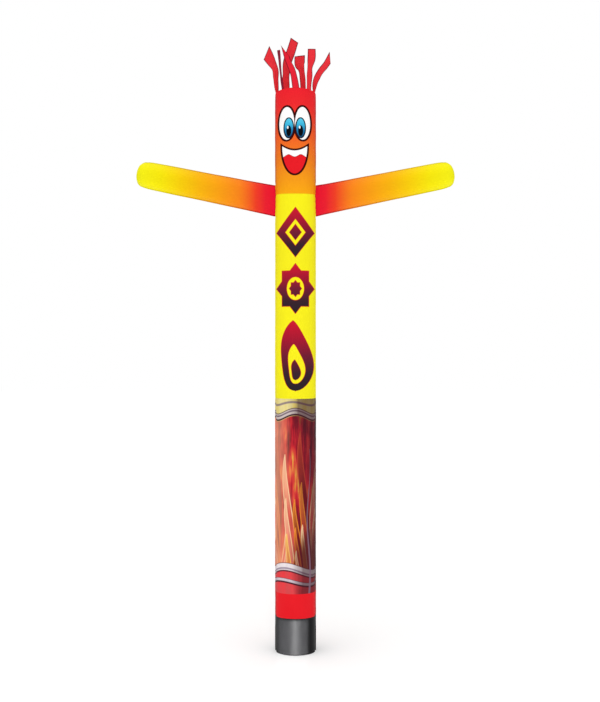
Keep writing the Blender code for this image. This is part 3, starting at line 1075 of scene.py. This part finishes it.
def hump(distance, reach):
    """Falls off from 1 as fade does, its top and foot rounded."""
    return math.exp(-((distance / reach) ** 2))


def zero_to_one(value):
    return min(max(value, 0.0), 1.0)


def turn_of(share):
    """The angle round a rolled cloth of a share of its width, 0 in the middle."""
    return (share - 0.5) * 2.0 * math.pi


def ring_spot(radius, turn, height):
    """The place at an angle round the tube's middle line, counted from the front towards +X."""
    return Vector((radius * math.sin(turn), -radius * math.cos(turn), height))


def uneven(turn, scale, height):
    """Soft noise round the tube, without a break at the back."""
    return noise.noise(Vector((math.cos(turn) * scale, math.sin(turn) * scale, height)))


def creases(turn, height, count, seed):
    """Uneven waves round the tube, from about -1 to 1."""
    wave = math.sin(turn * count + uneven(turn, 3.0, seed) * 4.0 + seed + height * 3.0)
    lift = 0.65 + 0.6 * uneven(turn, 6.0, seed + 7.0)
    return wave * lift


def tube_radius(turn, height):
    """The inflated tube's outside: drawn in and puckered at its seams, creased round the arms' roots."""
    radius = TUBE_R
    across = TUBE_R * math.cos(turn) / ARM_ROOT_DEEP
    upward = (height - ARM_Z) / ARM_ROOT_HIGH
    reach = math.hypot(across, upward)
    aside = (abs(turn) - math.pi / 2.0) * TUBE_R
    clear = zero_to_one((reach - FIN_START) / FIN_EASE)
    pull = FIN_PULL * clear * zero_to_one((TUBE_TOP - height) / RIM_EASE)
    radius -= pull * hump(aside, FIN_REACH)
    radius += (FIN_HIGH - FIN_PULL + pull) * clear * hump(aside, FIN_WIDE)
    for index, (seam, draw) in enumerate(SEAMS):
        away = height - seam
        radius -= draw * fade(away, SEAM_REACH)
        for count, share, far, step, start in SEAM_CREASES:
            radius += draw * share * creases(turn, height, count, index * step + start) * fade(away, far)
    radius += SLACK * uneven(turn, 1.4, height * 0.9)
    radius += FIN_PUCKER * creases(height * 2.6, 0.0, 9, 4.0) * fade(aside, 0.030)
    if ROOT_FOLD_NEAR < reach < ROOT_FOLD_FAR:
        spread = math.atan2(upward, across)
        fan = math.sin(spread * ROOT_FOLDS + 2.0 * noise.noise(Vector((spread, 0.0, 3.0))))
        radius += ROOT_FOLD_HIGH * fan * fade(reach - 1.0, ROOT_FOLD_REACH)
    return radius


def seam_lift(turn, height):
    """How far the cloth is pulled up or down because the rim and two of the cross seams aren't level."""
    total = 0.0
    facing = math.cos(turn)
    for seam, front, side, below, above in SEAM_SLANTS:
        away = height - seam
        share = 1.0 - abs(away) / (below if away < 0.0 else above)
        total += (front * facing * abs(facing) + side * (1.0 - facing**2)) * max(share, 0.0)
    return total


def tube_point(turn, height, inward=0.0):
    radius = tube_radius(turn, height) - inward
    return ring_spot(radius, turn, height + seam_lift(turn, height))


def tube_panel(name, low, high):
    """A rectangle of cloth rolled into the inflated tube, its edges closed at the back."""
    heights = rows_between(low, high)
    rows = len(heights) - 1
    made = flat_cloth(name, TUBE_COLUMNS, rows)

    def shape(share, row):
        return tube_point(turn_of(share), heights[row])

    def pattern(share, row):
        return ((share - 0.5) * AROUND, heights[row])

    lay_cloth(made, TUBE_COLUMNS, rows, shape, pattern)
    close_seam(made)
    return made


def cut_air_holes(made):
    """Cuts the openings through which the arms fill, inside the arms' seams."""
    deselect()
    bpy.ops.mesh.primitive_cylinder_add(
        vertices=72,
        radius=1.0,
        depth=4.0 * TUBE_R,
        location=(0.0, 0.0, ARM_Z),
        rotation=(0.0, math.pi / 2.0, 0.0),
        scale=(ARM_ROOT_HIGH - HOLE_EDGE_HIGH, ARM_ROOT_DEEP - HOLE_EDGE_DEEP, 1.0),
    )
    rod = bpy.context.object
    deselect()
    made.select_set(True)
    bpy.context.view_layer.objects.active = made
    change = made.modifiers.new("air holes", "BOOLEAN")
    change.operation = "DIFFERENCE"
    change.solver = "EXACT"
    change.object = rod
    bpy.ops.object.modifier_apply(modifier=change.name)
    bpy.data.objects.remove(rod)


def make_head():
    made = tube_panel("head_cloth", HEAD_BOTTOM, TUBE_TOP)
    thicken(made, NYLON, -1.0)
    cut_air_holes(made)
    dress(made, "head_panel", head_cloth())


def make_yellow():
    made = tube_panel("yellow_cloth", YELLOW_BOTTOM, YELLOW_TOP)
    thicken(made, NYLON, -1.0)
    cut_air_holes(made)
    dress(made, "yellow_panel", yellow_cloth())


def make_lower():
    made = tube_panel("lower_cloth", LOWER_BOTTOM, LOWER_TOP)
    thicken(made, NYLON, -1.0)
    dress(made, "lower_panel", lower_cloth())


def make_sleeve():
    """The sleeve's tube with its lower edge turned up inside to a hem."""
    heights = [*HEM_ROWS, *FOLD_ROWS, *rows_between(FOLD_TOP, SLEEVE_TOP)]
    inner_rows = len(HEM_ROWS)
    rows = len(heights) - 1
    made = flat_cloth("sleeve_cloth", TUBE_COLUMNS, rows)

    def shape(share, row):
        height = heights[row]
        inward = HEM_INWARD if row < inner_rows else 0.0
        if row == inner_rows:
            inward = HEM_FOLD_INWARD
        return tube_point(turn_of(share), height, inward)

    def pattern(share, row):
        turned = -1.0 if row < inner_rows else 1.0
        return ((share - 0.5) * AROUND, heights[row] * turned)

    lay_cloth(made, TUBE_COLUMNS, rows, shape, pattern)
    close_seam(made)
    thicken(made, SLEEVE_CLOTH, -1.0)
    dress(made, "base_sleeve", sleeve_cloth())


def arm_section(distance):
    """(half height, half depth) of an arm at a distance, smoothed between the listed sections."""
    last = len(ARM_SECTIONS) - 1
    index = 0
    while index < last - 1 and ARM_SECTIONS[index + 1][0] < distance:
        index += 1
    here, there = ARM_SECTIONS[index], ARM_SECTIONS[index + 1]
    before = ARM_SECTIONS[max(index - 1, 0)]
    after = ARM_SECTIONS[min(index + 2, last)]
    part = zero_to_one((distance - here[0]) / (there[0] - here[0]))
    made = []
    for column in (1, 2):
        rise_here = (there[column] - before[column]) / max(there[0] - before[0], 0.001)
        rise_there = (after[column] - here[column]) / max(after[0] - here[0], 0.001)
        span = there[0] - here[0]
        square, cube = part**2, part**3
        value = (2 * cube - 3 * square + 1) * here[column]
        value += (cube - 2 * square + part) * span * rise_here
        value += (3 * square - 2 * cube) * there[column]
        value += (cube - square) * span * rise_there
        made.append(max(value, 0.0008))
    return made


def arm_distances():
    """Distances of the rings along an arm, close together at the root and the tip."""
    made = []
    for row in range(ARM_ROWS + 1):
        share = row / ARM_ROWS
        eased = share - ARM_ROW_EASE * math.sin(2.0 * math.pi * share)
        made.append(ARM_TIP * min(eased, 1.0))
    return made


def make_arm(side, name, node, label):
    """A closed tube of cloth sewn round its air hole, its end gathered round; side is 1 towards +X."""
    along = Vector((side * math.cos(ARM_SLOPE), 0.0, math.sin(ARM_SLOPE)))
    upward = Vector((-side * math.sin(ARM_SLOPE), 0.0, math.cos(ARM_SLOPE)))
    start = Vector((side * TUBE_R, 0.0, ARM_Z))
    distances = arm_distances()
    made = flat_cloth(name, ARM_COLUMNS, ARM_ROWS)

    def swell_at(turn, distance, half_high):
        """How far the cloth stands out at its folds and gathers and along the seams on its two edges."""
        to_tip = ARM_TIP - distance
        tip_clear = min(to_tip / ARM_TIP_GATHER, 1.0)
        gather = math.sin(turn * 21.0 + 1.5 * math.sin(turn * 4.0))
        swell = ARM_ROOT_GATHER * gather * fade(distance, ARM_ROOT_GATHER_REACH)
        edge = abs(math.cos(turn)) ** 3
        tip_fade = fade(to_tip, ARM_TIP_PUCKER_REACH) * tip_clear
        swell += ARM_TIP_PUCKER * math.sin(distance * 150.0 + 2.0 * math.sin(turn)) * tip_fade * edge
        aside = math.acos(min(abs(math.cos(turn)), 1.0)) * half_high
        clear = min((distance + ARM_FIN_BEFORE) / ARM_FIN_EASE, 1.0) * tip_clear
        swell += ARM_FIN_HIGH * clear * hump(aside, FIN_WIDE)
        soft = SLACK * uneven(turn, 2.2, distance * 3.0 + side)
        return swell + soft * min(distance / ARM_ROOT_EASE, 1.0) * min(to_tip / ARM_TIP_EASE, 1.0)

    def shape(share, row):
        turn = turn_of(share)
        distance = distances[row]
        half_high, half_deep = arm_section(distance)
        half_high -= ARM_FIN_PULL * min((ARM_TIP - distance) / ARM_TIP_EASE, 1.0)
        deep = ARM_ROOT_DEEP * math.sin(turn)
        seat = (TUBE_R**2 - deep**2) ** 0.5 - TUBE_R
        slant = (seat + ARM_ROOT_HIGH * math.cos(turn) * math.sin(ARM_SLOPE)) / math.cos(ARM_SLOPE)
        rooted = max(1.0 - distance / (ARM_TIP * ARM_ROOT_SHARE), 0.0)
        rooted = rooted * rooted * (3.0 - 2.0 * rooted)
        reach = distance + slant * rooted
        grow = 1.0 + swell_at(turn, distance, half_high) / ARM_R
        place = start + along * reach
        place += upward * (half_high * grow * math.cos(turn))
        place += Vector((0.0, half_deep * grow * math.sin(turn), 0.0))
        inside = math.hypot(place.x, place.y)
        wall = tube_radius(math.atan2(place.x, -place.y), place.z) + ARM_ROOT_OUT
        sewn = 1.0 if inside < wall else max(1.0 - distance / ARM_ROOT_SEWN, 0.0)
        out = 1.0 + sewn * (wall / inside - 1.0)
        place.x *= out
        place.y *= out
        return place

    def pattern(share, row):
        return ((share - 0.5) * ARM_AROUND, distances[row])

    lay_cloth(made, ARM_COLUMNS, ARM_ROWS, shape, pattern)
    close_seam(made)
    thicken(made, NYLON, -1.0)
    dress(made, node, arm_cloth(label))


def make_crown():
    """A round of cloth domed by the air, its vent hemmed, its edge folded down inside the band."""
    profile = []
    for step in range(CROWN_ROWS + 1):
        r = VENT_R + (CROWN_EDGE_R - VENT_R) * step / CROWN_ROWS
        bow = (CROWN_EDGE_R**2 - r**2) / (CROWN_EDGE_R**2 - VENT_R**2)
        profile.append((r, CROWN_EDGE_Z + (CROWN_TOP - CROWN_EDGE_Z - CROWN_DROP) * bow))
    for step in range(1, CROWN_FOLD_ROWS + 1):
        profile.append((CROWN_EDGE_R, CROWN_EDGE_Z - (CROWN_EDGE_Z - CROWN_LOW) * step / CROWN_FOLD_ROWS))
    profile.insert(0, (VENT_R + VENT_HEM_WIDE, profile[0][1] - VENT_HEM_DEEP))
    rows = len(profile) - 1
    edge_row = CROWN_ROWS + 1
    made = flat_cloth("crown_cloth", CROWN_COLUMNS, rows)

    def shape(share, row):
        turn = turn_of(share)
        r, height = profile[row]
        if 0 < row <= edge_row:
            pleat = creases(turn, 0.0, VENT_PLEATS, 9.0) * fade(r - VENT_R, VENT_PLEAT_REACH)
            height += VENT_PLEAT * pleat * min((row - 1) / PLEAT_ROWS, 1.0)
            pleat = creases(turn, 0.0, EDGE_PLEATS, 2.0) * fade(CROWN_EDGE_R - r, EDGE_PLEAT_REACH)
            height += EDGE_PLEAT * pleat * min((edge_row - row) / PLEAT_ROWS, 1.0)
        return ring_spot(r, turn, height + seam_lift(turn, TUBE_TOP) * r / CROWN_EDGE_R)

    def pattern(share, row):
        r, height = profile[row]
        return (turn_of(share) * CROWN_MIDDLE_R, r + max(CROWN_EDGE_Z - height, 0.0))

    lay_cloth(made, CROWN_COLUMNS, rows, shape, pattern)
    close_seam(made)
    thicken(made, CROWN_CLOTH, 1.0)
    dress(made, "crown", crown_cloth())


def make_band(material):
    """The narrow band inside the rim that the ribbons are sewn to."""
    made = flat_cloth("hair_band", BAND_COLUMNS, BAND_ROWS)

    def shape(share, row):
        turn = turn_of(share)
        height = BAND_LOW + (BAND_TOP - BAND_LOW) * row / BAND_ROWS + seam_lift(turn, TUBE_TOP)
        bulge = BAND_IN * math.sin(math.pi * row / BAND_ROWS)
        return ring_spot(BAND_R - BAND_IN + bulge, turn, height)

    def pattern(share, row):
        return (turn_of(share) * BAND_R * BAND_PATTERN, (BAND_TOP - BAND_LOW) * row / BAND_ROWS)

    lay_cloth(made, BAND_COLUMNS, BAND_ROWS, shape, pattern)
    close_seam(made)
    keep_mark(made, "from_cut", "POINT", [1.0] * len(made.data.vertices))
    thicken(made, BAND_CLOTH, -1.0)
    dress(made, "hair", material)


def between_stations(before, here, there, after, part):
    """A point on the smooth course between two stations."""
    square = part * part
    cube = square * part
    made = []
    for a, b, c, d in zip(before, here, there, after):
        value = 2.0 * b + (c - a) * part
        value += (2.0 * a - 5.0 * b + 4.0 * c - d) * square
        value += (3.0 * b - a - 3.0 * c + d) * cube
        made.append(value / 2.0)
    return made


def smooth_course(stations, steps):
    """Evenly spaced samples along the stations, each with all of their columns."""
    last = len(stations) - 1
    samples = []
    for step in range(steps + 1):
        reach = last * step / steps
        index = min(int(reach), last - 1)
        before = stations[max(index - 1, 0)]
        after = stations[min(index + 2, last)]
        here, there = stations[index], stations[index + 1]
        samples.append(between_stations(before, here, there, after, reach - index))
    return samples


def make_ribbon(row_data, material):
    """A strip of nylon sewn at its foot, rippling as the air lifts it, its spare width in pleats."""
    place = math.radians(row_data["place"])
    turn = row_data["place"]
    if abs(turn) > 90:
        turn -= math.copysign(180, turn)
    seat = (BAND_R**2 - (row_data["root_width"] / 2) ** 2) ** 0.5 - RIBBON_IN
    foot = (seat * math.sin(place), -seat * math.cos(place))
    root = (*foot, RIBBON_ROOT_Z + seam_lift(place, TUBE_TOP), row_data["root_width"], turn)
    samples = smooth_course((root,) + row_data["course"], RIBBON_ROWS)
    centres = [Vector(sample[:3]) for sample in samples]
    lengths = [0.0]
    for here, there in zip(centres, centres[1:]):
        lengths.append(lengths[-1] + (there - here).length)
    made = flat_cloth(row_data["name"], RIBBON_STRIPS, RIBBON_ROWS)
    cut_wide = max(station[3] for station in row_data["course"])
    slack = row_data.get("slack", 1.0)

    def shape(share, row):
        ahead = centres[min(row + 1, RIBBON_ROWS)]
        behind = centres[max(row - 1, 0)]
        tangent = (ahead - behind).normalized()
        turned = math.radians(samples[row][4])
        level = Vector((tangent.z, 0.0, -tangent.x)).normalized()
        across = level * math.cos(turned) + Vector((0.0, math.sin(turned), 0.0))
        across = (across - tangent * across.dot(tangent)).normalized()
        facing = tangent.cross(across)
        width = samples[row][3]
        rise = row / RIBBON_ROWS
        side = (share - 0.5) * 2.0
        spare = max(cut_wide**2 - width**2, 0.0) ** 0.5
        free = min(rise * RIBBON_FREE, 1.0) * slack
        pleat = RIBBON_PLEAT * spare * math.cos(side * math.pi * 2.5) * free
        ripple = RIBBON_RIPPLE * math.sin(lengths[row] * 32.0 + row_data["place"]) * side * free
        cup = RIBBON_CUP * (1.0 - side * side) * free * math.cos(lengths[row] * 9.0 + row_data["place"])
        lead = row_data["cut_lead"] * rise**2 * side
        spot = centres[row] + across * (side * width / 2.0) + tangent * lead
        return spot + facing * (pleat + ripple + cup)

    def pattern(share, row):
        return ((share - 0.5) * cut_wide, lengths[row])

    lay_cloth(made, RIBBON_STRIPS, RIBBON_ROWS, shape, pattern)
    from_cut = [0.0] * len(made.data.vertices)
    for loop, spot in zip(made.data.loops, made.data.uv_layers.active.data):
        from_cut[loop.vertex_index] = min(cut_wide / 2.0 - abs(spot.uv.x), lengths[-1] - spot.uv.y)
    keep_mark(made, "from_cut", "POINT", from_cut)
    faces = len(made.data.polygons)
    thicken(made, RIBBON_CLOTH, 0.0)
    # the back faces carry the painted shade; the ribbon that shows it outwards has it on its front faces
    shaded_back = [0.0] * faces + [1.0] * (len(made.data.polygons) - faces)
    if "shaded_back_out" in row_data:
        shaded_back = [1.0 - value for value in shaded_back]
    keep_mark(made, "shaded_back", "FACE", shaded_back)
    keep_mark(made, "deep", "FACE", [row_data.get("deep", 0.0)] * len(made.data.polygons))
    dress(made, "hair", material)


def make_hair():
    material = hair_cloth()
    make_band(material)
    for row_data in RIBBONS:
        make_ribbon(row_data, material)


# ---------------------------------------------------------------- the studio

SUN_STRENGTH = 1.62
SUN_WIDE = math.radians(60.0)
SUN_TURN = (math.radians(9.0), math.radians(-4.0), 0.0)
SKY_LIGHT = 0.55  # the sky's strength as a light, beside its white behind the figure
FLOOR_SIZE = 160.0
FLOOR_Z = -0.0005
FLOOR_PALE = 0.98
LIGHTS = (
    # name, place, what it faces, width, height, power, spread in degrees
    ("tall front light", (0.35, -7.5, 4.0), (0.0, 0.0, 3.8), 0.7, 8.2, 104.0, 180.0),
    ("low sleeve light", (-0.07, -1.45, 0.193), (-0.02, 0.0, 0.193), 0.33, 0.388, 4.2, 2.6),
    ("low side light", (-1.50, -0.55, 0.190), (-0.2, 0.0, 0.190), 0.30, 0.380, 0.32, 3.0),
)


def make_camera():
    data = bpy.data.cameras.new("photo camera")
    data.sensor_width = SENSOR
    data.lens = FOCAL_PIXELS / PHOTO_HIGH * SENSOR
    data.clip_end = 200.0
    made = bpy.data.objects.new("photo camera", data)
    made.location = (CAMERA_ASIDE, -CAMERA_AWAY, CAMERA_HEIGHT)
    made.rotation_euler = (math.pi / 2.0, 0.0, 0.0)
    bpy.context.scene.collection.objects.link(made)
    bpy.context.scene.camera = made


def make_light(name, place, look, wide, high, power, spread):
    data = bpy.data.lights.new(name, "AREA")
    data.shape = "RECTANGLE"
    data.size = wide
    data.size_y = high
    data.energy = power
    data.spread = math.radians(spread)
    made = bpy.data.objects.new(name, data)
    made.location = place
    direction = Vector(look) - Vector(place)
    made.rotation_euler = direction.to_track_quat("-Z", "Y").to_euler()
    bpy.context.scene.collection.objects.link(made)


def make_overhead_light():
    """A wide, even light from above that also whitens the floor."""
    data = bpy.data.lights.new("overhead light", "SUN")
    data.energy = SUN_STRENGTH
    data.angle = SUN_WIDE
    made = bpy.data.objects.new("overhead light", data)
    made.rotation_euler = SUN_TURN
    bpy.context.scene.collection.objects.link(made)


def make_sky():
    """White behind the dancer, and softer where the sky only lights it."""
    world = bpy.data.worlds.new("studio sky")
    world.use_nodes = True
    tree = world.node_tree
    background = tree.nodes["Background"]
    background.inputs["Color"].default_value = (1.0, 1.0, 1.0, 1.0)
    path = tree.nodes.new("ShaderNodeLightPath")
    strength = tree.nodes.new("ShaderNodeMapRange")
    strength.inputs["To Min"].default_value = SKY_LIGHT
    strength.inputs["To Max"].default_value = 1.0
    tree.links.new(path.outputs["Is Camera Ray"], strength.inputs["Value"])
    tree.links.new(strength.outputs["Result"], background.inputs["Strength"])
    bpy.context.scene.world = world
    bpy.context.scene.view_settings.view_transform = "Standard"


def make_studio():
    """A pale floor under an even sky, with a tall soft light in front and two small ones on the sleeve."""
    make_sky()
    deselect()
    bpy.ops.mesh.primitive_plane_add(size=FLOOR_SIZE, location=(0.0, 0.0, FLOOR_Z))
    floor = bpy.context.object
    floor.name = "studio_floor"
    paper = bpy.data.materials.new("pale floor")
    paper.use_nodes = True
    shader = paper.node_tree.nodes["Principled BSDF"]
    shader.inputs["Base Color"].default_value = (FLOOR_PALE, FLOOR_PALE, FLOOR_PALE, 1.0)
    shader.inputs["Roughness"].default_value = 0.9
    shader.inputs["Specular IOR Level"].default_value = 0.1
    floor.data.materials.append(paper)
    make_overhead_light()
    for light in LIGHTS:
        make_light(*light)


def main():
    make_camera()
    make_studio()
    make_sleeve()
    make_lower()
    make_yellow()
    make_head()
    make_arm(-1, "left_arm_cloth", "arm_left", "left")
    make_arm(1, "right_arm_cloth", "arm_right", "right")
    make_crown()
    make_hair()


main()
